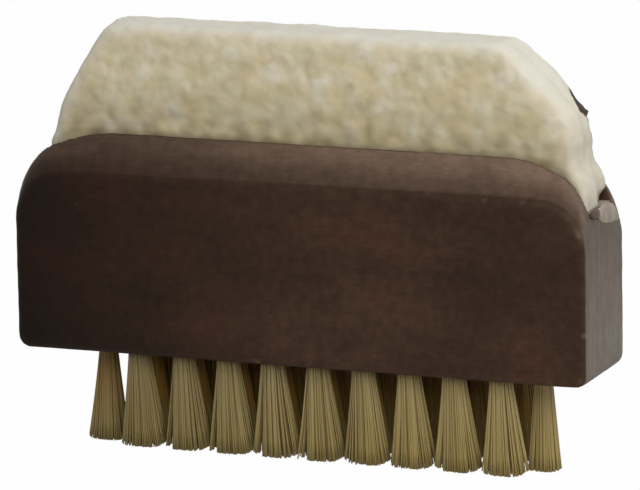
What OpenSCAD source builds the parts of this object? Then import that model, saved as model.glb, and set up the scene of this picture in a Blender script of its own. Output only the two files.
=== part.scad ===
// Two-sided suede brush: a shaped hardwood block with a slab of laminated crepe rubber let into
// a slot along its top, and trimmed bristle tufts anchored in blind holes in its underside.
// The front face looks along -Y, the bristle tips stand on the plane z = 0.

/* [Wooden block] */
// Length of the block, end face to end face
block_l = 95; // [85:1:115]
// Depth of the block, front face to rear face
block_d = 17.6; // [16:0.1:22]
// Height from the underside to the top of the cheeks
block_h = 34.8; // [32:0.1:40]
// Height above the underside where the flat faces end and the shoulders begin
face_h = 29; // [24:0.1:30]
// Corner radius at the top of the flat faces
face_corner_r = 8; // [5:0.5:10]
// Corner radius at the top of the cheeks
cheek_corner_r = 12; // [10:0.5:14]
// Corner radius at the underside
foot_corner_r = 2; // [1:0.1:4]
// Softening radius of the long edges of the faces
edge_r = 0.6; // [0.3:0.1:1]
// How far the shoulder bulges beyond a straight bevel
shoulder_bulge = 0.35; // [0:0.05:0.6]
// Flat left along the top of each cheek
cheek_land = 0.3; // [0.2:0.1:1]

/* [Slot and glue] */
// Depth of the slot below the top of the cheeks
slot_depth = 8.5; // [6:0.5:10]
// Clearance between the crepe and each wall of the slot
crepe_fit = 0.1; // [0.05:0.05:0.3]
// Thickness of the glue under the crepe
glue_t = 0.3; // [0.1:0.1:0.6]
// How far the glue stops short of the slot's open ends
glue_back = 0.4; // [0:0.1:2]

/* [Crepe slab] */
// Number of crepe sheets laid side by side in the slab
ply_count = 4; // [3:1:5]
// Thickness of one crepe sheet
ply_t = 2.5; // [2:0.1:2.6]
// Height of the slab, from the glue to its worn top
crepe_h = 25.1; // [20:0.1:32]
// Rounding of the slab's outer edges along the top
crepe_edge_r = 1.5; // [0.8:0.1:2]
// Rounding of the slab's outer edges at the cut ends
crepe_end_r = 0.8; // [0.3:0.1:2]
// Largest step between the cut ends of neighbouring sheets
ply_step = 0.3; // [0:0.05:0.6]
// Height of the slab's foot, which follows the rounded corner of the block
toe_h = 4.4; // [3:0.1:5]
// How far the foot draws in over its height
toe_lean = 0.7; // [0.5:0.1:1.5]
// Height of the waist, where the end comes clear of the cheeks
waist_h = 7; // [6:0.5:9]
// Rounding of the slab's two top corners, along the top
corner_run = 2; // [1:0.5:5]

/* [Right end of the slab] */
// Distance in from the block's end at the foot
right_toe_in = 0.8; // [0.6:0.1:2]
// Distance in from the block's end at the waist
right_waist_in = 3; // [2.5:0.1:5]
// Distance in from the block's end at the knee, where the slanted cut begins
right_knee_in = 4.4; // [4:0.1:7]
// Height of the slanted cut, from the knee to the top
right_cut_h = 10.5; // [8:0.5:12]
// Distance in from the block's end at the top
right_top_in = 15; // [12:0.5:20]

/* [Left end of the slab] */
// Distance in from the block's end at the foot
left_toe_in = 4.2; // [0.6:0.1:5]
// Distance in from the block's end at the waist
left_waist_in = 5.3; // [2.5:0.1:6]
// Distance in from the block's end at the knee
left_knee_in = 7.2; // [5:0.1:8]
// Height of the slanted cut, from the knee to the top
left_cut_h = 12; // [8:0.5:13]
// Distance in from the block's end at the top
left_top_in = 14.5; // [12:0.5:20]

/* [Bristle tufts] */
// Free length of the bristles below the block
bristle_len = 15.1; // [10:0.1:22]
// Number of tufts in the front row and in the rear row
outer_count = 9; // [7:1:9]
// Spacing of the tufts in the front and rear rows
outer_pitch = 7.55; // [6.8:0.05:8]
// Number of tufts in the middle row
middle_count = 11; // [9:1:11]
// Spacing of the tufts in the middle row
middle_pitch = 7.3; // [6.8:0.1:8]
// Distance from the middle row to the front and rear rows
row_gap = 4.6; // [4.4:0.1:5]
// Shift of the front and rear rows along the block
outer_shift = 1.8; // [-2:0.1:2]
// Shift of the middle row along the block
middle_shift = 0.8; // [-1:0.1:1.5]
// Gap between neighbouring tufts at their tips
tip_gap = 0.3; // [0.2:0.1:1]
// How far the bristles of the front and rear rows spring apart just below their holes
spring_out = 0.3; // [0.1:0.05:0.5]
// Depth below the block at which they have sprung apart
spring_h = 1.2; // [0.8:0.1:3]
// How far the outer rows fan out beyond their holes' centre line
fan_out = 3.1; // [2.4:0.1:3.4]
// How far the tips lean along the block, from being brushed one way
tip_lean = 0.8; // [0:0.1:1.5]
// Grooves around one tuft, between its clumps of bristles
clump_count = 10; // [6:1:12]
// Depth of the grooves at the tips
groove_depth = 0.45; // [0.1:0.05:0.6]

/* [Holes and anchors] */
// Diameter of a tuft hole
hole_d = 3.8; // [3.2:0.1:4]
// Depth of a tuft hole, to the start of its drill point
hole_depth = 9; // [7:0.5:11]
// Angle of the drill point
drill_angle = 118; // [90:2:150]
// Clearance around a tuft in its hole
tuft_fit = 0.1; // [0.05:0.05:0.2]
// How much the bristles draw in at the mouth of the hole
neck_step = 0.2; // [0.1:0.05:0.4]
// How far the fanned part of a tuft runs up inside its hole
neck_run = 0.5; // [0.3:0.1:1]
// Width of the anchor strip, along the hole
anchor_w = 1.6; // [1:0.1:2]
// Thickness of the anchor strip
anchor_t = 0.4; // [0.3:0.05:0.6]
// How far each end of an anchor bites into the wood
anchor_bite = 0.5; // [0.3:0.1:0.8]
// Thickness of the bristles folded over an anchor
fold_t = 1.1; // [0.8:0.1:1.5]
// Clearance around an anchor inside its tuft
anchor_fit = 0.05; // [0.02:0.01:0.1]

/* [Hidden] */
// Overlap that keeps a cut from ending flush with a face
over = 1;
// Segments in a quarter turn of the block's large corners, its small corners and its edges
corner_steps = 16;
foot_steps = 6;
edge_steps = 3;
// Segments across a shoulder
shoulder_steps = 5;
// Smallest radius left at the block's lower corners once the edge is drawn in
least_foot_r = 0.2;
// Segments of a round hole, and of the tuft in it
round_steps = 48;
// Segments between two points of the slab's end curve
curve_steps = 4;
// Points round one tuft for each of its clumps, and steps down its fanned part
clump_points = 3;
fan_steps = 3;
// How late a tuft fans out: 1 is a straight cone
fan_power = 1.25;
// Exponent of a tuft's section: 2 is an ellipse, and more is squarer
round_power = 2;
trim_power = 3.2;
// Turn that keeps neighbouring tufts and sheets from looking alike, in degrees
uneven_turn = 137;

under_z = bristle_len;
slab_w = ply_count * ply_t;
slot_w = slab_w + 2 * crepe_fit;
slot_floor = under_z + block_h - slot_depth;
slab_z = slot_floor + glue_t;
hole_r = hole_d / 2;
tuft_r = hole_r - tuft_fit;
neck_r = tuft_r - neck_step;
drill_point_h = hole_r / tan(drill_angle / 2);
anchor_l = hole_d + 2 * anchor_bite;
anchor_z = under_z + hole_depth - fold_t - anchor_w / 2;

FRONT = -1;
MIDDLE = 0;
REAR = 1;

// Solid through rings of points that have equal counts and run the same way round.
// Each end is closed from its own middle, so a grooved or waisted ring closes cleanly.
module loft(rings, middles) {
    n = len(rings[0]);
    last = len(rings) - 1;
    points = concat([for (ring = rings) each ring], middles);
    sides = [for (j = [0 : last - 1], i = [0 : n - 1])
        let (a = j * n + i, b = j * n + (i + 1) % n)
        each [[a, b, b + n], [a, b + n, a + n]]];
    start = [for (i = [0 : n - 1]) [(i + 1) % n, i, len(points) - 2]];
    finish = [for (i = [0 : n - 1]) [last * n + i, last * n + (i + 1) % n, len(points) - 1]];
    polyhedron(points = points, faces = concat(start, sides, finish));
}

// Points of an arc in the x-z plane, turning from one angle to the other
function arc(centre, r, from, to, steps) =
    [for (i = [0 : steps])
        let (a = from + (to - from) * i / steps)
        [centre[0] + r * cos(a), centre[1] + r * sin(a)]];

// Outline of the block seen from the front, with its edge drawn in by inset
function block_outline(top, corner_r, inset) =
    let (x = block_l / 2 - inset,
         low = under_z + inset,
         high = under_z + top - inset,
         r = corner_r,
         foot = max(foot_corner_r - inset, least_foot_r))
    concat(
        arc([x - foot, low + foot], foot, -90, 0, foot_steps),
        arc([x - r, high - r], r, 0, 90, corner_steps),
        arc([r - x, high - r], r, 90, 180, corner_steps),
        arc([foot - x, low + foot], foot, 180, 270, foot_steps));

// One ring of the block at depth y
function block_ring(y, top, corner_r, inset) =
    [for (p = block_outline(top, corner_r, inset)) [p[0], y, p[1]]];

// Value at a share of the way from a to b
function between(a, b, share) = a + (b - a) * share;

// Rings from the front face to the top of the front cheek: a rounded edge, then the shoulder,
// each as [depth, height, corner radius, inset]
function shoulder_rings(side) =
    let (face = block_d / 2,
         land = slot_w / 2 + cheek_land,
         edge = [for (i = [0 : edge_steps])
            let (a = 90 * i / edge_steps)
            [face - edge_r * (1 - cos(a)), face_h, face_corner_r, edge_r * (1 - sin(a))]],
         shoulder = [for (i = [1 : shoulder_steps])
            let (share = i / shoulder_steps, bulge = 4 * share * (1 - share) * shoulder_bulge)
            [between(face - edge_r, land, share) + bulge,
             between(face_h, block_h, share) + bulge,
             between(face_corner_r, cheek_corner_r, share), 0]])
    [for (k = concat(edge, shoulder)) block_ring(side * k[0], k[1], k[2], k[3])];

function reversed(list) = [for (i = [len(list) - 1 : -1 : 0]) list[i]];

// Centres of the tufts in one row
function row_count(row) = row == MIDDLE ? middle_count : outer_count;
function row_pitch(row) = row == MIDDLE ? middle_pitch : outer_pitch;
function row_shift(row) = row == MIDDLE ? middle_shift : outer_shift;
function tuft_x(row, i) = row_shift(row) + (i - (row_count(row) + 1) / 2) * row_pitch(row);
function tuft_y(row) = row * row_gap;

module wooden_block() {
    front = shoulder_rings(FRONT);
    rear = reversed(shoulder_rings(REAR));
    middle_z = under_z + face_h / 2;
    color("#3b2a22")
    difference() {
        loft(concat(front, rear), [[0, -block_d / 2, middle_z], [0, block_d / 2, middle_z]]);
        translate([-block_l / 2 - over, -slot_w / 2, slot_floor])
            cube([block_l + 2 * over, slot_w, slot_depth + over]);
        for (row = [FRONT, MIDDLE, REAR], i = [1 : row_count(row)])
            translate([tuft_x(row, i), tuft_y(row), 0]) {
                tuft_hole();
                anchor_strip(anchor_l);
            }
    }
}

// Blind hole with a drill point, open at the underside
module tuft_hole() {
    translate([0, 0, under_z - over])
        cylinder(h = hole_depth + over, d = hole_d, $fn = round_steps);
    translate([0, 0, under_z + hole_depth])
        cylinder(h = drill_point_h, r1 = hole_r, r2 = 0, $fn = round_steps);
}

// Flat strip of wire that holds the fold of one tuft at the bottom of its hole
module anchor_strip(length, fit = 0) {
    translate([0, 0, anchor_z])
        cube([length, anchor_t + 2 * fit, anchor_w + 2 * fit], center = true);
}

module anchors(row) {
    color("#b9a05a")
    for (i = [1 : row_count(row)])
        translate([tuft_x(row, i), tuft_y(row), 0])
            anchor_strip(anchor_l);
}

// Half length of the slot's floor, which ends on the rounded corners of the block
function floor_reach() =
    let (rise = slot_floor - (under_z + block_h - cheek_corner_r))
    block_l / 2 - cheek_corner_r + sqrt(pow(cheek_corner_r, 2) - pow(max(rise, 0), 2));

module glue_bed() {
    reach = floor_reach() - glue_back;
    color("#a59a86")
    translate([-reach, -slab_w / 2, slot_floor])
        cube([2 * reach, slab_w, glue_t]);
}

// Smooth curve through points, by Catmull-Rom pieces, with the two outermost points as guides
function smooth_piece(a, b, c, d, t) =
    (2 * b + (c - a) * t + (2 * a - 5 * b + 4 * c - d) * pow(t, 2)
        + (3 * b - a - 3 * c + d) * pow(t, 3)) / 2;
function smooth(p) =
    [for (i = [1 : len(p) - 3], k = [0 : curve_steps - 1])
        smooth_piece(p[i - 1], p[i], p[i + 1], p[i + 2], k / curve_steps)];

// Cut end of the slab as [distance in from the block's end, height above the glue]:
// up the rounded foot, in to the waist, out along the knee and up the slanted cut
function end_curve(toe_in, waist_in, knee_in, cut_h, top_in, inset, drop) =
    let (knee = crepe_h - cut_h,
         slope = (top_in - knee_in) / cut_h,
         corner = corner_run / 2,
         profile = [
            [toe_in - toe_lean, -toe_h / 2],
            [toe_in, 0],
            [toe_in + toe_lean / 2, toe_h / 2],
            [toe_in + toe_lean, toe_h],
            [waist_in, waist_h],
            [knee_in, knee],
            [top_in - slope * corner, crepe_h - corner],
            [top_in + corner_run, crepe_h],
            [top_in + 4 * corner_run, crepe_h]])
    [for (p = smooth(profile)) [p[0] + inset, min(p[1], crepe_h - drop)]];

// Outline of one sheet seen from the front; shift moves its cut ends along the block, inset draws
// the ends in and drop lowers the top
function ply_outline(shift, inset, drop) =
    let (right = end_curve(right_toe_in, right_waist_in, right_knee_in, right_cut_h,
                           right_top_in, inset, drop),
         left = end_curve(left_toe_in, left_waist_in, left_knee_in, left_cut_h, left_top_in,
                          inset, drop),
         reach = block_l / 2)
    concat(
        [for (p = right) [reach - p[0] + shift, slab_z + p[1]]],
        [[reach - right_top_in - corner_run - inset + shift, slab_z + crepe_h - drop],
         [left_top_in + corner_run + inset - reach + shift, slab_z + crepe_h - drop]],
        [for (p = reversed(left)) [p[0] - reach + shift, slab_z + p[1]]]);

function ply_ring(y, shift, inset, drop) =
    [for (p = ply_outline(shift, inset, drop)) [p[0], y, p[1]]];

// Depth of a rounding of radius r at distance d below the slab's outer face
function rounding(r, d) = d >= r ? 0 : r - sqrt(pow(r, 2) - pow(r - d, 2));

module crepe_ply(i) {
    y_front = -slab_w / 2 + (i - 1) * ply_t;
    // Each sheet lies a little further left than the longest. A foot is never nearer to the
    // block's end than the largest step, so none passes it.
    shift = -ply_step * (1 + sin(uneven_turn * i)) / 2;
    levels = [for (k = [0 : edge_steps + 1]) ply_t * k / (edge_steps + 1)];
    ys = i == 1 || i == ply_count ? levels : [0, ply_t];
    rings = [for (d = ys)
        let (y = y_front + d, depth = min(y + slab_w / 2, slab_w / 2 - y))
        ply_ring(y, shift, rounding(crepe_end_r, depth), rounding(crepe_edge_r, depth))];
    middle_z = slab_z + crepe_h / 2;
    color("#cdc49f")
    loft(rings, [[0, y_front, middle_z], [0, y_front + ply_t, middle_z]]);
}

// Radius of a tuft where it has sprung apart below its hole. The middle row, held in by the
// others, stays as it leaves the hole.
function sprung_r(row) = row == MIDDLE ? neck_r : neck_r + spring_out;

// Half width of a tuft in direction a, at a share t of the way down from there to the tip.
// The section goes from a circle to a rounded square that just clears its neighbours.
function tuft_reach(row, a, t) =
    let (side = row_pitch(row) / 2 - tip_gap / 2,
         inner = row_gap / 2 - tip_gap / 2,
         outward = row != MIDDLE && sin(a) * row > 0,
         start = sprung_r(row),
         flare = pow(t, fan_power),
         w = start + (side - start) * flare,
         d = start + ((outward ? fan_out : inner) - start) * flare,
         power = round_power + (trim_power - round_power) * t)
    pow(pow(abs(cos(a)) / w, power) + pow(abs(sin(a)) / d, power), -1 / power);

// Ring of a tuft at height z, grooved between its clumps of bristles and leaning towards its tip
function tuft_ring(row, z, turn) =
    let (n = clump_count * clump_points,
         sprung_z = under_z - spring_h,
         t = max(0, 1 - z / sprung_z))
    [for (k = [n - 1 : -1 : 0])
        let (a = 360 * k / n,
             groove = groove_depth * t * (1 - cos(clump_count * a + turn)) / 2,
             r = z > sprung_z ? neck_r : tuft_reach(row, a, t) - groove)
        [r * cos(a) + tip_lean * t, r * sin(a), z]];

// Tuft number i of a row: the fold inside the hole, and the bristles fanning out to a flat trim
module tuft(row, i) {
    turn = uneven_turn * (i + 3 * row);
    root_z = under_z + neck_run;
    sprung_z = under_z - spring_h;
    heights = concat(root_z, [for (k = [0 : fan_steps]) sprung_z * (1 - k / fan_steps)]);
    rings = [for (z = heights) tuft_ring(row, z, turn)];
    color("#8a7c4c")
    translate([tuft_x(row, i), tuft_y(row), 0])
    union() {
        loft(reversed(rings), [[tip_lean, 0, 0], [0, 0, root_z]]);
        difference() {
            translate([0, 0, under_z])
                cylinder(h = hole_depth, r = tuft_r, $fn = round_steps);
            anchor_strip(hole_d, anchor_fit);
        }
    }
}

wooden_block();
glue_bed();
for (i = [1 : ply_count])
    crepe_ply(i);
for (i = [1 : outer_count])
    tuft(FRONT, i);
for (i = [1 : middle_count])
    tuft(MIDDLE, i);
for (i = [1 : outer_count])
    tuft(REAR, i);
anchors(FRONT);  // front_anchors
anchors(MIDDLE);  // middle_anchors
anchors(REAR);  // rear_anchors
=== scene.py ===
# %% [markdown]
# # A two-sided suede brush
# The brush is a dark-stained hardwood block with a slab of crepe rubber glued into a slot along its
# top and rows of stiff bristle tufts in its underside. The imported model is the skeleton: it fixes
# every size and place. This script dresses it. Each solid that looks too clean is replaced by a mesh
# that follows it closely, and everything gets a procedural material.

# %% Load the frame
import math

import bmesh
import bpy
import numpy as np
from mathutils import Matrix, Vector, noise


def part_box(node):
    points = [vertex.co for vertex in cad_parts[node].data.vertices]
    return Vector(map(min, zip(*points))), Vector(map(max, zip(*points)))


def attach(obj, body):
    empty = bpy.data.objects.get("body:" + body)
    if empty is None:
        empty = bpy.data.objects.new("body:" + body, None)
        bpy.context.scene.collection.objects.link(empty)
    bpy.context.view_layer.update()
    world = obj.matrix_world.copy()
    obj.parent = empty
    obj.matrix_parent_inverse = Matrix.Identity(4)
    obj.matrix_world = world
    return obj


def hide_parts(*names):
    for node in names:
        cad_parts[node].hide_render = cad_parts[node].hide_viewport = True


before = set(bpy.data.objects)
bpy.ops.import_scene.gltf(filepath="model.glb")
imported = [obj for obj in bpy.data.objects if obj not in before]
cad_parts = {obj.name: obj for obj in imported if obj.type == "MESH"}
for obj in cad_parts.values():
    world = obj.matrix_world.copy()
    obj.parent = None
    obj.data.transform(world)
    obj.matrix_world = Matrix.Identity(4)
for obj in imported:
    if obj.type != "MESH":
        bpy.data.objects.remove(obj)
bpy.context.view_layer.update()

MM = 0.001

# %% [markdown]
# ## The camera
# A product photograph like this is taken from far away with a long lens, so that the block's edges
# stay almost parallel. The picture is 640 by 490 pixels. The focal length is known in pixels, and
# Blender wants it in millimetres on the sensor, so it is scaled by the sensor's width.

# %% Place the camera
PHOTO_WIDTH_PX = 640
SENSOR_MM = 36.0
FOCAL_PX = 6007.0
CAMERA_AZIMUTH = math.radians(21.89)
CAMERA_ELEVATION = math.radians(12.36)
CAMERA_ROLL = math.radians(-1.01)
CAMERA_DISTANCE = 924.8 * MM
CAMERA_AIM = Vector((4.18, -8.8, 34.875)) * MM

back = Vector((math.sin(CAMERA_AZIMUTH) * math.cos(CAMERA_ELEVATION),
               -math.cos(CAMERA_AZIMUTH) * math.cos(CAMERA_ELEVATION),
               math.sin(CAMERA_ELEVATION)))
level_right = Vector((math.cos(CAMERA_AZIMUTH), math.sin(CAMERA_AZIMUTH), 0))
level_up = back.cross(level_right)
right = level_right * math.cos(CAMERA_ROLL) + level_up * math.sin(CAMERA_ROLL)
up = level_up * math.cos(CAMERA_ROLL) - level_right * math.sin(CAMERA_ROLL)

camera = bpy.data.objects.new("camera", bpy.data.cameras.new("camera"))
bpy.context.scene.collection.objects.link(camera)
camera.data.sensor_width = SENSOR_MM
camera.data.lens = FOCAL_PX * SENSOR_MM / PHOTO_WIDTH_PX
camera.data.clip_start = 0.01
camera.data.clip_end = 20
turn = Matrix((right, up, back)).transposed().to_4x4()
camera.matrix_world = Matrix.Translation(CAMERA_AIM + back * CAMERA_DISTANCE) @ turn
bpy.context.scene.camera = camera
print("lens in mm:", round(camera.data.lens, 1))

# %% [markdown]
# ## Small helpers for materials
# Colours are written as the hex values a person would pick on screen, and one function turns them
# into the linear values that the renderer works in. A second function adds a node, sets it up and
# links it, so that each material reads as a list of its layers. A third starts an empty material.

# %% Colour and node helpers
def linear(hex_colour):
    channels = [int(hex_colour[i:i + 2], 16) / 255 for i in (1, 3, 5)]
    return (*[c / 12.92 if c <= 0.04045 else ((c + 0.055) / 1.055) ** 2.4 for c in channels], 1.0)


def add(tree, kind, inputs=None, **settings):
    node = tree.nodes.new("ShaderNode" + kind)
    for name, value in settings.items():
        setattr(node, name, value)
    for name, value in (inputs or {}).items():
        if isinstance(value, bpy.types.NodeSocket):
            tree.links.new(value, node.inputs[name])
        else:
            node.inputs[name].default_value = value
    return node


def new_material(name):
    material = bpy.data.materials.new(name)
    material.use_nodes = True
    material.node_tree.nodes.clear()
    return material, material.node_tree


# Socket numbers of the Mix node when it mixes colours
MIX_A, MIX_B, MIX_OUT = 6, 7, 2

# %% [markdown]
# ## Meshes fine enough to wear
# Real wood and rubber have no perfectly sharp edge and no perfectly flat face. To give a solid such
# faces, its mesh needs small, even squares all over. The Remesh modifier in voxel mode makes them:
# it samples the solid on a grid and skins it again. A few rounds of averaging take the grid's
# steps out, and the same averaging tells how far a point sticks out, which is where it would wear.

# %% Remesh, relax and build meshes
def remeshed(mesh, voxel):
    holder = bpy.data.objects.new("holder", mesh)
    bpy.context.scene.collection.objects.link(holder)
    weld = holder.modifiers.new("weld", "WELD")
    weld.merge_threshold = 1e-6
    remesh = holder.modifiers.new("remesh", "REMESH")
    remesh.mode = "VOXEL"
    remesh.voxel_size = voxel
    remesh.use_smooth_shade = True
    evaluated = holder.evaluated_get(bpy.context.evaluated_depsgraph_get())
    result = bpy.data.meshes.new_from_object(evaluated)
    bpy.data.objects.remove(holder)
    return result


def points_of(mesh):
    flat = np.empty(len(mesh.vertices) * 3)
    mesh.vertices.foreach_get("co", flat)
    return flat.reshape(-1, 3)


def edges_of(mesh):
    flat = np.empty(len(mesh.edges) * 2, dtype=np.int64)
    mesh.edges.foreach_get("vertices", flat)
    return flat.reshape(-1, 2)


def normals_of(mesh):
    flat = np.empty(len(mesh.vertices) * 3)
    mesh.vertices.foreach_get("normal", flat)
    return flat.reshape(-1, 3)


def put_points(mesh, points):
    mesh.vertices.foreach_set("co", points.astype(np.float32).ravel())
    mesh.update()


def relax(values, edges, rounds, share=0.5):
    """Moves each value by a share of the way to the mean of its neighbours."""
    count = len(values)
    a, b = edges[:, 0], edges[:, 1]
    degree = np.bincount(edges.ravel(), minlength=count)
    for _ in range(rounds):
        total = np.stack([np.bincount(a, column[b], count) + np.bincount(b, column[a], count)
                          for column in values.T], axis=1)
        values = values + share * (total / degree[:, None] - values)
    return values


def smooth_out(points, edges, rounds):
    """Takes the steps of the voxel grid out, and grows back what each round has shrunk."""
    for _ in range(rounds):
        points = relax(points, edges, 1, share=0.5)
        points = relax(points, edges, 1, share=-0.52)
    return points


def bumps(points, size, seed, stretch=(1, 1, 1)):
    """Smooth random heights from about -1 to 1, with lumps of the given size."""
    shift = Vector((seed * 7.13, seed * 3.71, seed * 5.37))
    scaled = points / (size * np.array(stretch))
    return np.array([noise.noise(Vector(p) + shift) for p in scaled])


def smoothstep(low, high, x):
    t = np.clip((x - low) / (high - low), 0, 1)
    return t * t * (3 - 2 * t)


def new_piece(name, mesh, material, slot, *nodes):
    piece = bpy.data.objects.new(name, mesh)
    bpy.context.scene.collection.objects.link(piece)
    mesh.materials.clear()
    mesh.materials.append(material)
    mesh.polygons.foreach_set("use_smooth", [True] * len(mesh.polygons))
    if nodes:
        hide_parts(*nodes)
    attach(piece, "root")


def store(mesh, name, values):
    attribute = mesh.attributes.new(name, "FLOAT", "POINT")
    attribute.data.foreach_set("value", values.astype(np.float32))


# %% [markdown]
# ## The finish of the block
# The block is beech or a like pale hardwood, stained dark brown, sanded and wiped dry. The stain sinks
# in unevenly, so the colour drifts between dark and red brown over a centimetre or two. The colour is
# darker towards the left end, nearly black there, while the middle near the bristles has faded.
# Hands have rubbed the shoulders, which are paler and a little dusty. They are also painted paler
# higher up and towards the right end, as painted light from above and from the right. The sawn ends
# are painted grey as a painted sheen of light grazing them, and show upright saw marks. The dry
# surface has a roughness of about a half and hardly any gloss, so the specular level is low.

# %% Stained hardwood
def make_stained_wood():
    material, tree = new_material("stained_beech_sanded")
    place = add(tree, "TexCoord").outputs["Object"]
    along = add(tree, "Mapping", {"Vector": place, "Scale": (0.5, 1, 1)}).outputs["Vector"]
    drift = add(tree, "TexNoise", {"Vector": along, "Scale": 1 / (11 * MM), "Detail": 3.0,
                                   "Roughness": 0.55}).outputs["Fac"]
    stain = add(tree, "ValToRGB", {"Fac": drift})
    stain.color_ramp.elements[0].position = 0.34
    stain.color_ramp.elements[0].color = linear("#2f2119")
    stain.color_ramp.elements[1].position = 0.72
    stain.color_ramp.elements[1].color = linear("#442b20")
    stain.color_ramp.elements.new(0.54).color = linear("#3a291e")

    # Fibres are a tenth of a millimetre wide in beech, and drawn four times as coarse to show
    fibre_place = add(tree, "Mapping", {"Vector": place, "Scale": (0.16, 1, 1)}).outputs["Vector"]
    fibre = add(tree, "TexNoise", {"Vector": fibre_place, "Scale": 1 / (0.4 * MM), "Detail": 4.0,
                                   "Roughness": 0.7}).outputs["Fac"]
    fibre_tone = add(tree, "MapRange", {"Value": fibre, "From Min": 0.3, "From Max": 0.7,
                                        "To Min": 0.86, "To Max": 1.14}).outputs["Result"]
    blotch = add(tree, "TexNoise", {"Vector": place, "Scale": 1 / (1.5 * MM), "Detail": 2.0,
                                    "Roughness": 0.5}).outputs["Fac"]
    blotch_tone = add(tree, "MapRange", {"Value": blotch, "From Min": 0.3, "From Max": 0.7,
                                         "To Min": 0.82, "To Max": 1.18}).outputs["Result"]
    tones = add(tree, "Math", {0: fibre_tone, 1: blotch_tone}, operation="MULTIPLY").outputs["Value"]
    axes = add(tree, "SeparateXYZ", {"Vector": place})
    # The colour is darker towards the left end, nearly black there
    darker_to_left = add(tree, "MapRange", {"Value": axes.outputs["X"], "From Min": -47 * MM,
                                    "From Max": 2 * MM, "To Min": 0.22,
                                    "To Max": 1.1}).outputs["Result"]
    from_faded = add(tree, "VectorMath", {0: along, 1: (2 * MM, -9 * MM, 18 * MM)},
                     operation="DISTANCE").outputs["Value"]
    faded = add(tree, "MapRange", {"Value": from_faded, "From Min": 3 * MM, "From Max": 15 * MM,
                                   "To Min": 1.35, "To Max": 1.0}).outputs["Result"]
    uneven = add(tree, "Math", {0: darker_to_left, 1: faded}, operation="MULTIPLY").outputs["Value"]
    stain_tones = add(tree, "Math", {0: tones, 1: uneven}, operation="MULTIPLY").outputs["Value"]
    grained = add(tree, "Mix", {0: 1.0, MIX_A: stain.outputs["Color"], MIX_B: stain_tones},
                  data_type="RGBA", blend_type="MULTIPLY").outputs[MIX_OUT]

    fleck_mask = add(tree, "MapRange", {"Value": blotch, "From Min": 0.72, "From Max": 0.82,
                                        "To Min": 0.0, "To Max": 0.25}).outputs["Result"]
    flecked = add(tree, "Mix", {0: fleck_mask, MIX_A: grained, MIX_B: linear("#6d5a4c")},
                  data_type="RGBA").outputs[MIX_OUT]

    # The shoulders' pale colour below is partly wear and partly painted light from above and the right
    wear_and_light = add(tree, "Attribute", attribute_name="wear_and_light").outputs["Fac"]
    patchy = add(tree, "Math", {0: wear_and_light, 1: tones}, operation="MULTIPLY").outputs["Value"]
    worn_and_lit = add(tree, "Mix", {0: patchy, MIX_A: flecked, MIX_B: linear("#735f50")},
               data_type="RGBA").outputs[MIX_OUT]

    # Painted sheen: the sawn ends are mixed towards grey as if catching light at a grazing angle, more
    # of it low down, streaked by upright saw marks
    saw_place = add(tree, "Mapping", {"Vector": place, "Scale": (1, 1, 0.12)}).outputs["Vector"]
    saw_marks = add(tree, "TexNoise", {"Vector": saw_place, "Scale": 1 / (1.1 * MM),
                                       "Detail": 3.0}).outputs["Fac"]
    end_grain = add(tree, "Attribute", attribute_name="end_grain").outputs["Fac"]
    saw_tone = add(tree, "MapRange", {"Value": saw_marks, "From Min": 0.3, "From Max": 0.7,
                                      "To Min": 0.7, "To Max": 1.0}).outputs["Result"]
    low_end_sheen = add(tree, "MapRange", {"Value": axes.outputs["Z"], "From Min": 22 * MM,
                                      "From Max": 42 * MM, "To Min": 1.0,
                                      "To Max": 0.5}).outputs["Result"]
    end_sheen_tone = add(tree, "Math", {0: low_end_sheen, 1: saw_tone}, operation="MULTIPLY").outputs["Value"]
    end_sheen_share = add(tree, "Math", {0: end_grain, 1: end_sheen_tone}, operation="MULTIPLY").outputs["Value"]
    coloured = add(tree, "Mix", {0: end_sheen_share, MIX_A: worn_and_lit, MIX_B: linear("#7a7167")},
                   data_type="RGBA").outputs[MIX_OUT]

    rough = add(tree, "MapRange", {"Value": blotch, "From Min": 0.3, "From Max": 0.7,
                                   "To Min": 0.46, "To Max": 0.6}).outputs["Result"]
    relief = add(tree, "Bump", {"Height": fibre, "Strength": 0.5, "Distance": 0.03 * MM})
    shader = add(tree, "BsdfPrincipled", {"Base Color": coloured, "Roughness": rough, "IOR": 1.5,
                                          "Specular IOR Level": 0.08,
                                          "Normal": relief.outputs["Normal"]})
    add(tree, "OutputMaterial", {"Surface": shader.outputs["BSDF"]})
    return material


stained_wood = make_stained_wood()

# %% [markdown]
# ## The block
# The CAD block has the right outline, slot and holes, and its edges are too perfect. Its mesh is
# copied, remeshed at 0.41 mm and smoothed without shrinking. Use has rubbed the upper corners of the
# cheeks down by up to a millimetre. A longer relaxing of a copy shows which points stick out: there
# the block is rubbed down a little, unevenly. The same copy gives the fold between face and shoulder
# its softer line.

# %% Wear the block
BLOCK_VOXEL = 0.41 * MM
BLOCK_SMOOTHING = 7
SOFTENING = 18
SWELL = 0.03 * MM
RUB = 0.07 * MM
# Shares of the block's height over which the cheeks' rubbed corners and its upper part fade in
CORNERS_BEGIN = (0.78, 0.95)
UPPER_BEGINS = (0.62, 0.7)
# Use has rubbed the upper corners of the cheeks down: x along the block and the drop, both in mm
RUBBED_X = (-45, -42.3, -40.2, -37.6, -35.7, -32, 32.5, 35.5, 37.8, 40, 41.4, 43.5)
RUBBED_DOWN = (0.2, 0.5, 0.95, 0.95, 0.5, 0.0, 0.0, 0.12, 0.45, 0.5, 0.4, 0.0)

block_mesh = remeshed(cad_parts["wooden_block"].data.copy(), BLOCK_VOXEL)
block_edges = edges_of(block_mesh)
block_points = smooth_out(points_of(block_mesh), block_edges, BLOCK_SMOOTHING)
block_low, block_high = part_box("wooden_block")


def share_of_height(points):
    return (points[:, 2] - block_low.z) / (block_high.z - block_low.z)


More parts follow.
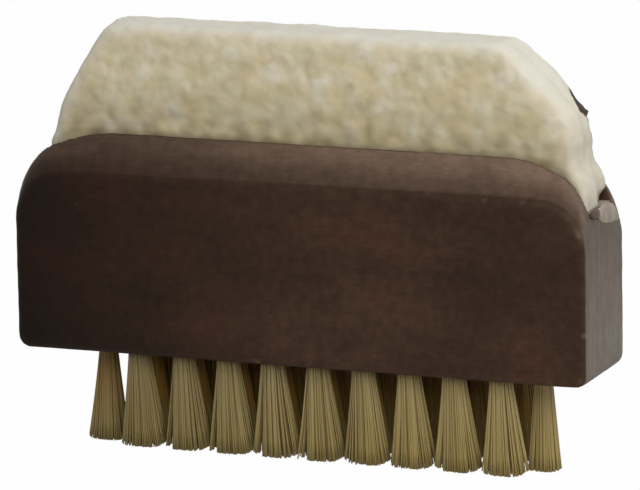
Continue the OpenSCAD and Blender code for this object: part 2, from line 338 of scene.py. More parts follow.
cheek_share = smoothstep(*CORNERS_BEGIN, share_of_height(block_points))
block_points[:, 2] -= cheek_share * np.interp(block_points[:, 0] / MM, RUBBED_X, RUBBED_DOWN) * MM
soft_points = relax(block_points, block_edges, SOFTENING)
behind_face = (block_high.y - np.abs(block_points[:, 1])) / MM
upper = smoothstep(*UPPER_BEGINS, share_of_height(block_points))
put_points(block_mesh, block_points)
block_normals = normals_of(block_mesh)
outward = np.abs(block_normals[:, 1])
near_fold = upper * (1 - smoothstep(1.2, 2.2, behind_face)) * smoothstep(0.1, 0.3, outward)
stands_out = np.einsum("ij,ij->i", block_points - soft_points, block_normals) / MM
edge_wear = smoothstep(0.05, 0.25, stands_out)
grain_swell = bumps(block_points, 1.6 * MM, 1, stretch=(9, 1, 1)) * SWELL
hand_rub = edge_wear * RUB * (0.55 + 0.9 * bumps(block_points, 2.6 * MM, 2, stretch=(2, 1, 1)))
block_points = block_points + (soft_points - block_points) * near_fold[:, None]
put_points(block_mesh, block_points + block_normals * (grain_swell - hand_rub)[:, None])

# %% [markdown]
# The rubbed places are also paler. The shoulders are paler along the top and towards the right end,
# partly from wear and partly as painted light from above and from the right. They lie above the fold
# and a little behind the face. The edges have small pale chips, mostly in the right half, and the
# right corner's edge has a pale line that is partly wear and partly a painted highlight. All of it,
# painted light included, goes into one attribute, and `end_grain` marks the sawn ends.

# %% Mark the wear of the block
# Half the width of the slot in the block
SLOT_WALL = 5.1 * MM
# How far behind the face the pale shoulder begins, rubbed and with painted light, at two places along
# the block, all in mm
FOLD_X = (-40, 30)
FOLD_BEHIND = (0.08, 0.38)

along = block_points[:, 0] / MM
fold = np.interp(along, FOLD_X, FOLD_BEHIND)
on_shoulder = smoothstep(0.15, 0.45, outward) * smoothstep(fold, fold + 0.3, behind_face) * upper
up_shoulder = behind_face / ((block_high.y - SLOT_WALL) / MM)
# Painted light: the shoulders are painted paler towards the right end, as if lit from the right, a
# little less at the very end
held = 0.5 + 1.05 * smoothstep(-35, 42, along)
held = held * (1 - 0.25 * smoothstep(37, 44, along))
patches = 1 + 0.3 * bumps(block_points, 3 * MM, 9, stretch=(3, 1, 1))
# Paler higher up the shoulder: partly wear, partly painted light from above
shoulder_wear_and_light = on_shoulder * (0.2 + 0.43 * smoothstep(0.15, 0.6, up_shoulder)) * held * patches
# Partly wear and partly a painted highlight: a pale line along the upper edges towards the right end
corner_wear_and_highlight = edge_wear * upper * smoothstep(30, 42, along)
chips = smoothstep(0.35, 0.6, bumps(block_points, 1.4 * MM, 13, stretch=(1.5, 1, 1)))
chips = chips * smoothstep(-30, 0, along)
outside = smoothstep(0.1, 0.4, (np.abs(block_points[:, 1]) - SLOT_WALL) / MM)
edges_worn_and_lit = edge_wear * (0.05 + 0.5 * chips) + 0.2 * corner_wear_and_highlight
wear_and_light = np.clip(edges_worn_and_lit + shoulder_wear_and_light, 0, 1) * outside
store(block_mesh, "wear_and_light", wear_and_light)
store(block_mesh, "end_grain", smoothstep(0.6, 0.95, np.abs(block_normals[:, 0])))
new_piece("block", block_mesh, stained_wood, "stained_wood", "wooden_block")
print("block:", len(block_mesh.polygons), "faces, share on worn edges",
      round(float((edge_wear > 0.5).mean()), 3))

# %% [markdown]
# ## The finish of the crepe
# Crepe rubber is coagulated latex, rolled into sheets and laid up. It is not foam and not fleece: it
# is solid, slightly see-through, and curdled like cheese, with soft clots of about two millimetres
# between honey and grey white. Smooth noise drifts the tone across the clots, and a smooth Voronoi
# pattern adds a little tone to each of them and gives it its pillow shape. Where a knife has cut the
# rubber, along the top and the ends, it is whiter.
# Near the wood it is darker, partly from stain and dirt and partly as painted shade. Light enters it a
# little, which subsurface scattering gives, and its dry, matt surface has a high roughness.

# %% Crepe rubber
def make_crepe():
    material, tree = new_material("crepe_rubber_rolled_and_cut")
    place = add(tree, "TexCoord").outputs["Object"]
    warp = add(tree, "TexNoise", {"Vector": place, "Scale": 1 / (3 * MM),
                                  "Detail": 2.0}).outputs["Color"]
    warped = add(tree, "VectorMath", {0: warp, 1: (1.6 * MM,) * 3, 2: place},
                 operation="MULTIPLY_ADD").outputs["Vector"]
    curd = add(tree, "TexNoise", {"Vector": warped, "Scale": 1 / (2.8 * MM), "Detail": 3.0,
                                  "Roughness": 0.45}).outputs["Fac"]
    clots = add(tree, "TexVoronoi", {"Vector": warped, "Scale": 1 / (2 * MM), "Smoothness": 0.9},
                feature="SMOOTH_F1")
    most = add(tree, "Math", {0: curd, 1: 0.75}, operation="MULTIPLY").outputs["Value"]
    clotted = add(tree, "Math", {0: clots.outputs["Color"], 1: 0.25, 2: most},
                  operation="MULTIPLY_ADD").outputs["Value"]
    tone = add(tree, "ValToRGB", {"Fac": clotted})
    tone.color_ramp.elements[0].position = 0.32
    tone.color_ramp.elements[0].color = linear("#bbaf8d")
    tone.color_ramp.elements[1].position = 0.68
    tone.color_ramp.elements[1].color = linear("#d3ccb7")
    tone.color_ramp.elements.new(0.5).color = linear("#cabfa0")

    honey_place = add(tree, "Mapping", {"Vector": warped,
                                        "Location": (0.3, 0.1, 0.2)}).outputs["Vector"]
    honey = add(tree, "TexNoise", {"Vector": honey_place, "Scale": 1 / (5 * MM),
                                   "Detail": 2.0}).outputs["Fac"]
    honey_share = add(tree, "MapRange", {"Value": honey, "From Min": 0.42, "From Max": 0.68,
                                         "To Min": 0.0, "To Max": 0.5}).outputs["Result"]
    honeyed = add(tree, "Mix", {0: honey_share, MIX_A: tone.outputs["Color"], MIX_B: linear("#cdb98e")},
                  data_type="RGBA").outputs[MIX_OUT]

    # Darker near the wood: partly dirt and stain, partly painted shade
    shade_and_grime = add(tree, "Attribute", attribute_name="shade_and_grime").outputs["Fac"]
    shaded_and_dirty = add(tree, "Mix", {0: shade_and_grime, MIX_A: honeyed, MIX_B: linear("#7d7050")},
                data_type="RGBA").outputs[MIX_OUT]
    cut = add(tree, "Attribute", attribute_name="cut").outputs["Fac"]
    cut_face = add(tree, "Mix", {0: cut, MIX_A: shaded_and_dirty, MIX_B: linear("#d9d6ca")},
                   data_type="RGBA").outputs[MIX_OUT]
    dark_streak = add(tree, "Attribute", attribute_name="dark_streak").outputs["Fac"]
    marked = add(tree, "Mix", {0: dark_streak, MIX_A: cut_face, MIX_B: linear("#3a2e24")},
                 data_type="RGBA").outputs[MIX_OUT]

    fine = add(tree, "TexNoise", {"Vector": warped, "Scale": 1 / (0.7 * MM), "Detail": 3.0,
                                  "Roughness": 0.6}).outputs["Fac"]
    relief = add(tree, "Bump", {"Height": clots.outputs["Distance"], "Strength": 0.4,
                                "Distance": 0.3 * MM}, invert=True)
    crinkle = add(tree, "Bump", {"Height": fine, "Strength": 0.3, "Distance": 0.06 * MM,
                                 "Normal": relief.outputs["Normal"]})
    shader = add(tree, "BsdfPrincipled", {
        "Base Color": marked, "Roughness": 0.8, "IOR": 1.52, "Specular IOR Level": 0.25,
        "Subsurface Weight": 0.15, "Subsurface Radius": (1.0, 0.8, 0.5),
        "Subsurface Scale": 0.6 * MM, "Normal": crinkle.outputs["Normal"]})
    add(tree, "OutputMaterial", {"Surface": shader.outputs["BSDF"]})
    return material


crepe_rubber = make_crepe()

# %% [markdown]
# ## The crepe slab
# The four sheets of the CAD model have bonded into one slab on the real brush, so one mesh stands
# for them. The outline comes from an inner sheet, the small steps at the ends from where each sheet
# begins and ends, and the rounding of the outer edges is worked out again ring by ring. The solid is
# then remeshed and pushed in and out by lumpy noise. Inside the slot it is only pushed in, so that
# it never enters the wood.

# %% Outline and rings of the slab
PLIES = sorted(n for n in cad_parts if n.startswith("crepe_ply_"))
SLAB_VOXEL = 0.38 * MM
RING_COUNT = 41

ply_boxes = [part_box(n) for n in PLIES]
slab_front, slab_rear = ply_boxes[0][0].y, ply_boxes[-1][1].y
inner_low, inner_high = ply_boxes[1]
inner_middle = (inner_low + inner_high) / 2


def face_points(node, y):
    """The points of a node's CAD solid that lie on the plane at depth y, as x and z."""
    points = points_of(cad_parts[node].data)
    return points[np.abs(points[:, 1] - y) < 0.01 * MM][:, [0, 2]]


outer_face = face_points(PLIES[0], slab_front)
TOP_ROUNDING = inner_high.z - outer_face[:, 1].max()
END_ROUNDING = ply_boxes[0][1].x - outer_face[:, 0].max()
print("slab roundings in mm:", round(TOP_ROUNDING / MM, 2), "at the top,",
      round(END_ROUNDING / MM, 2), "at the ends")

outline = np.unique(np.round(face_points(PLIES[1], inner_low.y), 7), axis=0)
from_middle = outline - (inner_middle.x, inner_middle.z)
far_out = np.hypot(*from_middle.T) > 2 * MM
turned = np.argsort(np.arctan2(from_middle[far_out, 1], from_middle[far_out, 0]))
outline = outline[far_out][turned]


def rounding(radius, depth):
    return radius - math.sqrt(radius ** 2 - (radius - depth) ** 2) if depth < radius else 0.0


def slab_ring(y):
    depth = min(y - slab_front, slab_rear - y)
    inset, drop = rounding(END_ROUNDING, depth), rounding(TOP_ROUNDING, depth)
    ply = min(int((y - slab_front) / (slab_rear - slab_front) * len(PLIES)), len(PLIES) - 1)
    shift = ply_boxes[ply][1].x - inner_high.x
    return [(x - math.copysign(inset, x - inner_middle.x) + shift, y, min(z, inner_high.z - drop))
            for x, z in outline]


def loft(rings):
    count = len(rings[0])
    points = [p for ring in rings for p in ring]
    faces = [(j * count + i, j * count + (i + 1) % count, (j + 1) * count + (i + 1) % count,
              (j + 1) * count + i) for j in range(len(rings) - 1) for i in range(count)]
    faces.append(tuple(reversed(range(count))))
    faces.append(tuple(range((len(rings) - 1) * count, len(rings) * count)))
    mesh = bpy.data.meshes.new("loft")
    mesh.from_pydata(points, [], faces)
    return mesh


ring_places = np.linspace(slab_front, slab_rear, RING_COUNT)
slab_mesh = remeshed(loft([slab_ring(y) for y in ring_places]), SLAB_VOXEL)
print("slab remeshed:", len(slab_mesh.polygons), "faces")

# %% [markdown]
# The lumps are heights of smooth noise turned positive, so they are round and meet in creases, as
# clots do. The front edges, which do the brushing, are worn rounder than the CAD has them, and a
# slanting cut takes the lower rear corner off the right end of the slab.

# %% Curdle the slab
LUMP = 0.2 * MM
CRINKLE = 0.04 * MM
WANDER = 0.3 * MM
CUT_SPREAD = 100
SLAB_SMOOTHING = 3
ROUNDING_ROUNDS = 40
UNDERCUT = 1.4 * MM

# The top of the cheeks as a curve, from the CAD block's own outline along the slot
block_cad = points_of(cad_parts["wooden_block"].data)
from_middle_plane = np.abs(block_cad[:, 1])
beside_slot = (from_middle_plane > slab_rear + 0.2 * MM) & (from_middle_plane < slab_rear + 0.6 * MM)
ridge = block_cad[beside_slot & (block_cad[:, 2] > inner_middle.z - 12 * MM)][:, [0, 2]]
ridge = ridge[np.argsort(ridge[:, 0])]


def above_cheek(points):
    """Height of points above the top of the cheeks."""
    return points[:, 2] - np.interp(points[:, 0], ridge[:, 0], ridge[:, 1])


slab_edges = edges_of(slab_mesh)
slab_points = smooth_out(points_of(slab_mesh), slab_edges, SLAB_SMOOTHING)

to_front = smoothstep(0.1, 0.8, -slab_points[:, 1] / slab_rear)
rounded = relax(slab_points, slab_edges, ROUNDING_ROUNDS)
front_share = to_front * smoothstep(0, 2, above_cheek(slab_points) / MM)
slab_points += (rounded - slab_points) * front_share[:, None]
to_rear = smoothstep(-0.1, 0.7, slab_points[:, 1] / slab_rear)
near_foot = 1 - smoothstep(0.4, 2.6, (slab_points[:, 2] - inner_low.z) / MM)
near_end = smoothstep(-6, -2, (slab_points[:, 0] - inner_high.x) / MM)
slab_points[:, 0] -= UNDERCUT * to_rear * near_foot * near_end
put_points(slab_mesh, slab_points)

slab_normals = normals_of(slab_mesh)
clear_of_wood = smoothstep(-0.5, 2.0, above_cheek(slab_points) / MM)
cut_edge = 1 - smoothstep(0.3, 0.9, np.abs(relax(slab_normals, slab_edges, 5)[:, 1]))
cut = np.clip(1.4 * relax(cut_edge[:, None], slab_edges, CUT_SPREAD)[:, 0], 0, 1)
lumps = 2 * np.abs(bumps(slab_points, 2.8 * MM, 3)) + 0.6 * bumps(slab_points, 1.3 * MM, 4) - 0.5
crinkle = bumps(slab_points, 0.7 * MM, 5)
wander = bumps(slab_points, 6 * MM, 6) * cut
push = LUMP * lumps * (1 - 0.6 * cut) + CRINKLE * crinkle + WANDER * wander
push = np.where(push > 0, push * clear_of_wood, push * (0.3 + 0.7 * clear_of_wood))
slab_points = slab_points + slab_normals * push[:, None]

# %% [markdown]
# On the rear edge of the right end a dark streak runs a short way down, raised out of the rubber in
# places and sunk into it in others. Its outline is a short profile down that edge. Dirt and painted
# shade are strongest where the rubber touches the wood, and the cut at the right end has yellowed a
# little.

# %% Mark and finish the slab
# How strong the dirt and painted shade are low on the slab, and right at the wood, and how much the cut
# has yellowed
SHADE_AND_GRIME = 0.48
TOUCH_SHADE_AND_GRIME = 0.25
YELLOWED = 0.35
# The dark streak: millimetres down from the slab's top, how far it reaches in from the rear, and how far
# it stands out of the rubber or lies sunk into it
STREAK_DOWN = (7.2, 8.0, 9.4, 10.8, 11.2, 11.7, 14.0, 16.5)
STREAK_REACH = (0.0, 1.7, 2.8, 3.4, 3.2, 2.0, 1.3, 0.0)
STREAK_STAND = (0.0, -0.1, -0.4, -0.2, 0.2, -0.4, -0.3, 0.0)

down = (inner_high.z - slab_points[:, 2]) / MM
cut_side = outline[outline[:, 0] > inner_middle.x]
cut_side = cut_side[np.argsort(cut_side[:, 1])]
from_cut = (slab_points[:, 0] - np.interp(slab_points[:, 2], cut_side[:, 1], cut_side[:, 0])) / MM
inward = (slab_rear - slab_points[:, 1]) / MM + 0.3 * bumps(slab_points, 0.8 * MM, 7)
# A dark streak down the rear edge of the right end, raised or sunk a little
reach = np.interp(down, STREAK_DOWN, STREAK_REACH)
dark_streak = smoothstep(-0.2, 0.2, reach - inward) * smoothstep(-1.8, -1.2, from_cut) * (reach > 0)
streak_relief = dark_streak * np.interp(down, STREAK_DOWN, STREAK_STAND) * MM
slab_points = slab_points + slab_normals * streak_relief[:, None]
put_points(slab_mesh, slab_points)

height = above_cheek(slab_points) / MM
# Painted shade and dirt: darker within a centimetre of the wood, most where the rubber touches it
shade_and_grime = 1 - smoothstep(0.0, 10.0, height)
touching = 1 - smoothstep(0.0, 0.9, height + 0.5 * bumps(slab_points, 1.5 * MM, 10))
uneven = 1 + 0.8 * bumps(slab_points, 2.4 * MM, 14)
store(slab_mesh, "shade_and_grime", np.clip(SHADE_AND_GRIME * shade_and_grime * uneven + TOUCH_SHADE_AND_GRIME * touching, 0, 1))
yellowed = 1 - YELLOWED * smoothstep(-9, -2, (slab_points[:, 0] - inner_high.x) / MM)
store(slab_mesh, "cut", cut * yellowed * (0.85 + 0.2 * bumps(slab_points, 2 * MM, 8)))
store(slab_mesh, "dark_streak", dark_streak)
new_piece("crepe_slab", slab_mesh, crepe_rubber, "crepe_rubber", *PLIES)
print("slab: residue on", int((dark_streak > 0.5).sum()), "points")

# %% [markdown]
# ## The finish of the bristles
# The bristle is stiff natural hair, olive tan and a little see-through, with a waxy gloss along each
# hair. No two hairs are the same colour, so every bristle carries its own `tone`, and `reach` runs
# from nought at the wood to one at the tip, where the trimmed ends are more golden. The tufts are
# painted darker towards the left end, as painted shade where the light falls off. Near the wood, the
# bristles between the rows are painted brown, as painted shade that the rows cast on each other, kept
# in an attribute of their own. A roughness of 0.45 draws the soft light streaks down each tuft.

# %% Bristle
def make_bristle():
    material, tree = new_material("natural_bristle_trimmed")
    tone = add(tree, "Attribute", attribute_name="tone").outputs["Fac"]
    hair = add(tree, "ValToRGB", {"Fac": tone})
    hair.color_ramp.elements[0].position = 0.0
    hair.color_ramp.elements[0].color = linear("#8a794d")
    hair.color_ramp.elements[1].position = 1.0
    hair.color_ramp.elements[1].color = linear("#ad9a6a")
    hair.color_ramp.elements.new(0.5).color = linear("#9d8a5a")
    reach = add(tree, "Attribute", attribute_name="reach").outputs["Fac"]
    golden_share = add(tree, "MapRange", {"Value": reach, "From Min": 0.25, "From Max": 1.0,
                                          "To Min": 0.0, "To Max": 0.5}).outputs["Result"]
    golden = add(tree, "Mix", {0: golden_share, MIX_A: hair.outputs["Color"], MIX_B: linear("#988341")},
                 data_type="RGBA").outputs[MIX_OUT]
    place = add(tree, "TexCoord").outputs["Object"]
    across = add(tree, "SeparateXYZ", {"Vector": place}).outputs["X"]
    # Painted shade: the tufts are darker towards the left end, where the light falls off
    left_shade = add(tree, "MapRange", {"Value": across, "From Min": -38 * MM, "From Max": 32 * MM,
                                  "To Min": 0.7, "To Max": 1.08}).outputs["Result"]
    shaded_to_left = add(tree, "Mix", {0: 1.0, MIX_A: golden, MIX_B: left_shade},
                 data_type="RGBA", blend_type="MULTIPLY").outputs[MIX_OUT]
    # Painted shade: near the wood, the bristles between the rows are mixed towards brown
    gap_shade = add(tree, "Attribute", attribute_name="gap_shade").outputs["Fac"]
    gap_shaded_colour = add(tree, "Mix", {0: gap_shade, MIX_A: shaded_to_left, MIX_B: linear("#8f6614")},
                  data_type="RGBA").outputs[MIX_OUT]
    shader = add(tree, "BsdfPrincipled", {"Base Color": gap_shaded_colour, "Roughness": 0.45, "IOR": 1.5,
                                          "Specular IOR Level": 0.4})
    add(tree, "OutputMaterial", {"Surface": shader.outputs["BSDF"]})
    return material


bristle = make_bristle()

# %% [markdown]
# ## The tufts
# A tuft is a bundle of a few hundred bristles, folded in the middle over a strip of wire and driven
# into a hole. It leaves the hole as a tight round bundle and fans out to a trim that just clears its
# neighbours. Hair particles would be easier to make, but then there would be no mesh to export, so
# each bristle is a slim five-sided tube. Every bristle starts at a random place in the hole's circle
# and ends at the matching place in the tuft's rounded rectangle. Stiff bristles stick together in
# locks: each tip is drawn towards the nearest lock's middle, which opens the darker grooves, while
# the outermost stay where they are. Some tufts have a lock that has sprung away on one side, with a
# dark gap behind it. The end tufts of the middle row, which nothing holds in, lean to the front.

# %% Place the bristles of one tuft
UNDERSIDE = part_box("wooden_block")[0].z
BRISTLES = 370
BRISTLE_R = 0.13 * MM
BRISTLE_SIDES = 5
BRISTLE_STEPS = 6
IN_HOLE = 1.0 * MM
NECK_INSET = 0.35 * MM
LOCKS = 7
LOCK_PULL = 0.13
TRIM_RISE = 0.45 * MM
TRIM_SCATTER = 0.07 * MM
SWAY = 0.05 * MM
# Two would be an ellipse, and a large number a rectangle with sharp corners
SQUARENESS = 3.2
STRAY_BRISTLES = 22
STRAY_GAP = 1.35 * MM
# Tufts with a lock sprung away to the left (-1) or to the right (1)
STRAY_LOCKS = {"front_tuft_2": -1, "front_tuft_3": -1, "front_tuft_4": -1, "front_tuft_5": -1,
               "front_tuft_8": -1, "rear_tuft_3": 1, "rear_tuft_6": 1, "middle_tuft_7": 1}
# How far in mm the tips of these tufts lean along the brush and across it, and the share of their
# width that they fill. The outer rows have spread a little in use, until their tips touch.
LEAN = {"middle_tuft_1": (0.3, -3.0), "middle_tuft_11": (-0.3, -1.0)}
TIP_WIDTH = {"middle_tuft_11": 0.75}
SPREAD = 1.05
# How much painted brown shade the bristles of each row carry near the wood, where the rows shade each
# other
ROW_GAP_SHADE = {"front": 0.0, "middle": 1.0, "rear": 0.8}
END_GAP_SHADE = {"middle_tuft_1": 0.55, "middle_tuft_11": 0.1}


def tuft_measures(node):
    """Centre and radius below the hole, then centre and half sizes of the tips."""
    points = points_of(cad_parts[node].data)
    held = points[points[:, 2] > UNDERSIDE + IN_HOLE]
    root = (held.min(axis=0) + held.max(axis=0))[:2] / 2
    below = points[(points[:, 2] < UNDERSIDE - 0.5 * MM) & (points[:, 2] > UNDERSIDE - 2 * MM)]
    neck = np.abs(below[:, 1] - root[1]).max() - NECK_INSET
    trimmed = points[points[:, 2] < 0.01 * MM]
    low, high = trimmed.min(axis=0)[:2], trimmed.max(axis=0)[:2]
    return root, neck, (low + high) / 2, (high - low) / 2


def tip_places(angle, share, half):
    """Where bristles at these angles and shares of the radius end up in the rounded rectangle."""
    along = np.abs(np.cos(angle) / half[0]) ** SQUARENESS
    across = np.abs(np.sin(angle) / half[1]) ** SQUARENESS
    edge = (along + across) ** (-1 / SQUARENESS)
    return np.stack([np.cos(angle), np.sin(angle)], axis=1) * (edge * share)[:, None]


def tuft_lines(node, seed):
    """Centre lines of the tuft's bristles, as bristle x step x point, their tones and their painted gap
    shade.
    """
    rng = np.random.default_rng(seed)
    root, neck, tip, half = tuft_measures(node)
    half = half - BRISTLE_R
    angle = rng.uniform(0, 2 * math.pi, BRISTLES)
    share = rng.uniform(0, 1, BRISTLES) ** 0.5
    roots = root + np.stack([np.cos(angle), np.sin(angle)], axis=1) * (neck * share)[:, None]
    row = node.split("_")[0]
    body = half * (TIP_WIDTH.get(node, 1.0 if row == "middle" else SPREAD), 1)
    offsets = tip_places(angle, share, body)
    lock_angle = rng.uniform(0, 2 * math.pi, LOCKS)
    locks = tip_places(lock_angle, np.sqrt(rng.uniform(0.1, 0.95, LOCKS)), body)
    nearest = np.argmin(np.linalg.norm(offsets[:, None] - locks[None], axis=2), axis=1)
    pull = LOCK_PULL * rng.uniform(0.3, 1.0, BRISTLES) * (1 - smoothstep(0.8, 0.95, share))
    offsets += (locks[nearest] - offsets) * pull[:, None]

    side = STRAY_LOCKS.get(node, 0)
    if side:
        in_front = smoothstep(0.3, -0.2, offsets[:, 1] / half[1])
        beside = np.clip(side * offsets[:, 0] / half[0], 0, 1) * in_front
        offsets[:, 0] -= side * STRAY_GAP * beside ** 2
    tips = tip + offsets
    if side:
        stray = slice(0, STRAY_BRISTLES)
        spot = rng.normal(0, 0.15, (STRAY_BRISTLES, 2)) * MM
        roots[stray] = root + (side * (neck - 0.3 * MM), -0.4 * MM) + spot
        tips[stray] = tip + (side * (half[0] - 0.3 * MM), -0.9 * MM) + spot * (1.2, 3)

    width_share = np.clip(np.abs(tips[:, 0] - tip[0]) / half[0], 0, 1)
    tip_z = TRIM_RISE * width_share ** 6 + rng.uniform(0, TRIM_SCATTER, BRISTLES)
    tips += np.array(LEAN.get(node, (0, 0))) * MM
    sway = rng.normal(0, SWAY, (BRISTLES, 2))
    t = np.linspace(0, 1, BRISTLE_STEPS + 1)[None, :, None]
    bend = t ** 1.15
    flat = roots[:, None] * (1 - bend) + tips[:, None] * bend + sway[:, None] * np.sin(math.pi * t)
    top = UNDERSIDE + IN_HOLE
    z = top + (tip_z[:, None] - top) * t[..., 0]
    lock_tone = rng.uniform(0.25, 0.75, LOCKS)
    tones = np.clip(0.65 * lock_tone[nearest] + 0.35 * rng.uniform(0, 1, BRISTLES), 0, 1)
    gap_shaded = np.full(BRISTLES, END_GAP_SHADE.get(node, ROW_GAP_SHADE[row]))
    return np.concatenate([flat, z[..., None]], axis=2), tones, gap_shaded


# %% [markdown]
# Each centre line becomes a five-sided tube that tapers a little towards its tip. The bristles of one
# tuft share one mesh, and every point knows its bristle's tone, how far along it lies and how much
# painted brown shade it carries. Each tuft has a seed of its own, so every run gives the same brush.

# %% Build the tufts
# How dark the painted brown shade between the rows is at most
GAP_SHADE = 0.9


def tuft_mesh(lines, tones, gap_shaded):
    count, steps = lines.shape[:2]
    corner = 2 * math.pi * np.arange(BRISTLE_SIDES) / BRISTLE_SIDES
    taper = np.linspace(1.0, 0.85, steps)[None, :, None, None]
    ring = np.stack([np.cos(corner), np.sin(corner), np.zeros(BRISTLE_SIDES)], axis=1) * BRISTLE_R
    points = (lines[:, :, None] + ring[None, None] * taper).reshape(-1, 3)
    faces = []
    for b in range(count):
        base = b * steps * BRISTLE_SIDES
        for s in range(steps - 1):
            for k in range(BRISTLE_SIDES):
                a = base + s * BRISTLE_SIDES + k
                c = base + s * BRISTLE_SIDES + (k + 1) % BRISTLE_SIDES
                faces.append((a, a + BRISTLE_SIDES, c + BRISTLE_SIDES, c))
        faces.append(tuple(base + k for k in range(BRISTLE_SIDES)))
        end = base + (steps - 1) * BRISTLE_SIDES
        faces.append(tuple(end + k for k in reversed(range(BRISTLE_SIDES))))
    mesh = bpy.data.meshes.new("tuft")
    mesh.from_pydata(points.tolist(), [], faces)
    store(mesh, "tone", np.repeat(tones, steps * BRISTLE_SIDES))
    reach = np.tile(np.repeat(np.linspace(0, 1, steps), BRISTLE_SIDES), count)
    store(mesh, "reach", reach)
    near_wood = 1 - smoothstep(0.4, 0.95, reach)
    store(mesh, "gap_shade", GAP_SHADE * np.repeat(gap_shaded, steps * BRISTLE_SIDES) * near_wood)
    return mesh


tuft_nodes = sorted(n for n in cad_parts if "_tuft_" in n)
for seed, node in enumerate(tuft_nodes):
    new_piece(node + "_bristles", tuft_mesh(*tuft_lines(node, seed)), bristle, "bristle", node)
print("tufts:", len(tuft_nodes), "of", BRISTLES, "bristles")

# %% [markdown]
# ## Anchors and glue
# The anchors are cropped from flat brass wire. Nothing of them shows from outside, and their CAD
# solids have the right shape already, so they only need their metal. Drawn brass is fully metallic
# and fairly smooth. The glue is a dried contact adhesive: tan, tough and slightly glossy.

# %% Brass and glue
def make_brass():
    material, tree = new_material("brass_wire_drawn_flat")
    place = add(tree, "TexCoord").outputs["Object"]
    along = add(tree, "Mapping", {"Vector": place, "Scale": (0.05, 1, 1)}).outputs["Vector"]
    draw_marks = add(tree, "TexNoise", {"Vector": along, "Scale": 1 / (0.08 * MM),
                                        "Detail": 2.0}).outputs["Fac"]
    rough = add(tree, "MapRange", {"Value": draw_marks, "To Min": 0.25,
                                   "To Max": 0.42}).outputs["Result"]
    shader = add(tree, "BsdfPrincipled", {"Base Color": linear("#c9a35a"), "Metallic": 1.0,
                                          "Roughness": rough})
    add(tree, "OutputMaterial", {"Surface": shader.outputs["BSDF"]})
    return material


def make_glue():
    material, tree = new_material("contact_glue_dried")
    place = add(tree, "TexCoord").outputs["Object"]
    blotch = add(tree, "TexNoise", {"Vector": place, "Scale": 1 / (2.5 * MM),
                                    "Detail": 2.0}).outputs["Fac"]
    tone = add(tree, "ValToRGB", {"Fac": blotch})
    tone.color_ramp.elements[0].position = 0.35
    tone.color_ramp.elements[0].color = linear("#857869")
    tone.color_ramp.elements[1].position = 0.65
    tone.color_ramp.elements[1].color = linear("#9b8f81")
    stained = add(tree, "Attribute", attribute_name="stained").outputs["Fac"]
    mixed = add(tree, "Mix", {0: stained, MIX_A: tone.outputs["Color"], MIX_B: linear("#40261f")},
                data_type="RGBA").outputs[MIX_OUT]
    relief = add(tree, "Bump", {"Height": blotch, "Strength": 0.3, "Distance": 0.1 * MM})
    shader = add(tree, "BsdfPrincipled", {"Base Color": mixed, "Roughness": 0.55, "IOR": 1.5,
                                          "Specular IOR Level": 0.3, "Normal": relief.outputs["Normal"]})
    add(tree, "OutputMaterial", {"Surface": shader.outputs["BSDF"]})
    return material


brass = make_brass()
glue = make_glue()
for row in ("front", "middle", "rear"):
    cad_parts[row + "_anchors"].data.materials.clear()
    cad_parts[row + "_anchors"].data.materials.append(brass)
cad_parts["glue_bed"].data.materials.clear()
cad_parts["glue_bed"].data.materials.append(glue)

# %% [markdown]
# Some glue was squeezed out at the right end of the slot and dried there as a lumpy smear, browned by
# the stain at its front end. The smear is a row of flattened balls, remeshed into one skin.

# %% Squeezed-out glue
# The smear along the right end, from front to rear in mm: its height above the slot's floor and radius
SMEAR_Y = (-5.2, -4.2, -3.0, -1.8, 0.0, 2.0, 3.6, 4.8, 6.0)
SMEAR_UP = (0.0, 0.0, -0.1, -0.3, -0.65, -1.0, -1.35, -1.8, -2.4)
SMEAR_RADIUS = (0.4, 0.7, 0.7, 1.0, 1.5, 1.7, 1.6, 1.3, 0.8)
SMEAR_BALLS = 34
SMEAR_THICKNESS = 0.35 * MM
SMEAR_INSET = 0.22 * MM
SMEAR_VOXEL = 0.15 * MM
SMEAR_SMOOTHING = 4
SMEAR_LUMP = 0.12 * MM
# How strong the stain is at the front end, and between which depths in mm it fades
FRONT_STAIN = 0.95
STAIN_FADES = (-3.0, -2.0)

slot_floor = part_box("glue_bed")[0].z
balls = bmesh.new()
for y in np.linspace(SMEAR_Y[0], SMEAR_Y[-1], SMEAR_BALLS):
    above, radius = np.interp(y, SMEAR_Y, SMEAR_UP), np.interp(y, SMEAR_Y, SMEAR_RADIUS)
    place = Matrix.Translation((block_high.x - SMEAR_INSET, y * MM, slot_floor + above * MM))
    shape = Matrix.Diagonal((SMEAR_THICKNESS, radius * MM, radius * MM, 1))
    bmesh.ops.create_icosphere(balls, subdivisions=3, radius=1.0, matrix=place @ shape)
ball_mesh = bpy.data.meshes.new("balls")
balls.to_mesh(ball_mesh)
balls.free()
smear_mesh = remeshed(ball_mesh, SMEAR_VOXEL)
smear_points = smooth_out(points_of(smear_mesh), edges_of(smear_mesh), SMEAR_SMOOTHING)
put_points(smear_mesh, smear_points)
lumpy = bumps(smear_points, 1.1 * MM, 11) * SMEAR_LUMP
put_points(smear_mesh, smear_points + normals_of(smear_mesh) * lumpy[:, None])
wavering = smear_points[:, 1] / MM + 0.6 * bumps(smear_points, 1.0 * MM, 12)
store(smear_mesh, "stained", FRONT_STAIN * (1 - smoothstep(*STAIN_FADES, wavering)))
new_piece("glue_smear", smear_mesh, glue, "glue")
print("glue smear:", len(smear_mesh.polygons), "faces")

# %% [markdown]
# ## Floor, background and light
# The brush stands on a plain pale floor. In the photograph the background is pure white, so the
# camera sees the floor and the world as white, while the lamps stay at a plain level. Seen directly
# or in a gloss, the floor is almost paper white and keeps a faint shadow.

# %% Floor
FLOOR_HALF = 3.0
FLOOR_WHITE = 0.985


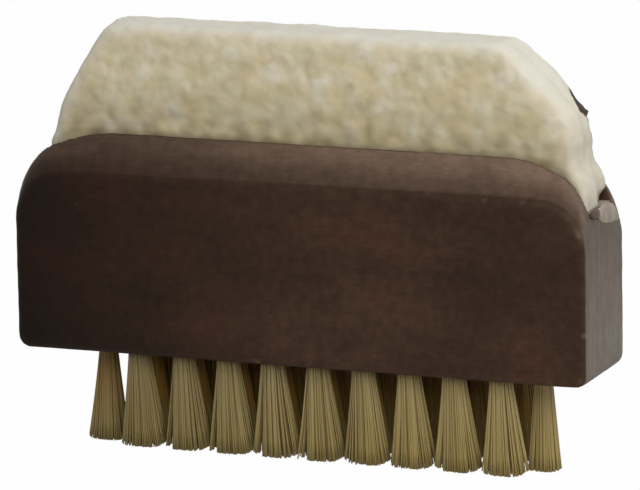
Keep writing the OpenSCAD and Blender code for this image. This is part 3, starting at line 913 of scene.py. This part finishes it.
def looked_at(tree):
    """One for rays from the camera or a gloss, and nought for rays that only light the brush."""
    path = add(tree, "LightPath")
    return add(tree, "Math", {0: path.outputs["Is Camera Ray"], 1: path.outputs["Is Glossy Ray"]},
               operation="MAXIMUM").outputs["Value"]


floor_mesh = bpy.data.meshes.new("floor")
corners = [(x * FLOOR_HALF, y * FLOOR_HALF, 0) for x, y in ((-1, -1), (1, -1), (1, 1), (-1, 1))]
floor_mesh.from_pydata(corners, [], [(0, 1, 2, 3)])
floor = bpy.data.objects.new("floor", floor_mesh)
bpy.context.scene.collection.objects.link(floor)

floor_paint, tree = new_material("pale_floor")
seen = add(tree, "Math", {0: looked_at(tree), 1: FLOOR_WHITE}, operation="MULTIPLY").outputs["Value"]
matt = add(tree, "BsdfDiffuse", {"Color": linear("#cfcfcf")})
white = add(tree, "Emission", {"Color": (1, 1, 1, 1), "Strength": 1.0})
blend = add(tree, "MixShader", {0: seen, 1: matt.outputs["BSDF"], 2: white.outputs["Emission"]})
add(tree, "OutputMaterial", {"Surface": blend.outputs["Shader"]})
floor_mesh.materials.append(floor_paint)
print("floor in metres:", 2 * FLOOR_HALF, "square")

# %% [markdown]
# The room around the brush gives a weak, even light. The camera sees it as white paper.

# %% Room
ROOM_LIGHT = 0.3

world = bpy.data.worlds.new("studio")
world.use_nodes = True
tree = world.node_tree
tree.nodes.clear()
seen = looked_at(tree)
room = add(tree, "Background", {"Color": (1, 1, 1, 1), "Strength": ROOM_LIGHT})
paper = add(tree, "Background", {"Color": (1, 1, 1, 1), "Strength": 1.0})
blend = add(tree, "MixShader", {0: seen, 1: room.outputs["Background"],
                                2: paper.outputs["Background"]})
add(tree, "OutputWorld", {"Surface": blend.outputs["Shader"]})
bpy.context.scene.world = world
print("room light:", ROOM_LIGHT)

# %% [markdown]
# The lamps stand in for large white screens. Both are to the right, one in front and one behind, and
# well above the brush, which gives the soft light from above and from the right.

# %% Lamps
LIT_HEIGHT = 35 * MM


def softbox(name, azimuth, elevation, distance, size, watts):
    """A square lamp that looks at the brush. Azimuth 0 is in front and 90 to the right."""
    a, e = math.radians(azimuth), math.radians(elevation)
    toward = Vector((math.sin(a) * math.cos(e), -math.cos(a) * math.cos(e), math.sin(e)))
    lamp = bpy.data.objects.new(name, bpy.data.lights.new(name, "AREA"))
    bpy.context.scene.collection.objects.link(lamp)
    lamp.data.size = size
    lamp.data.energy = watts
    lamp.location = Vector((0, 0, LIT_HEIGHT)) + toward * distance
    lamp.rotation_mode = "QUATERNION"
    lamp.rotation_quaternion = toward.to_track_quat("Z", "Y")
    lamp.visible_camera = False
    print(name, "in watts:", watts)


softbox("front_right_screen", 35, 38, 0.5, 0.4, 1.85)
softbox("back_right_screen", 125, 48, 0.6, 0.6, 1.08)
bpy.context.scene.view_settings.view_transform = "Standard"
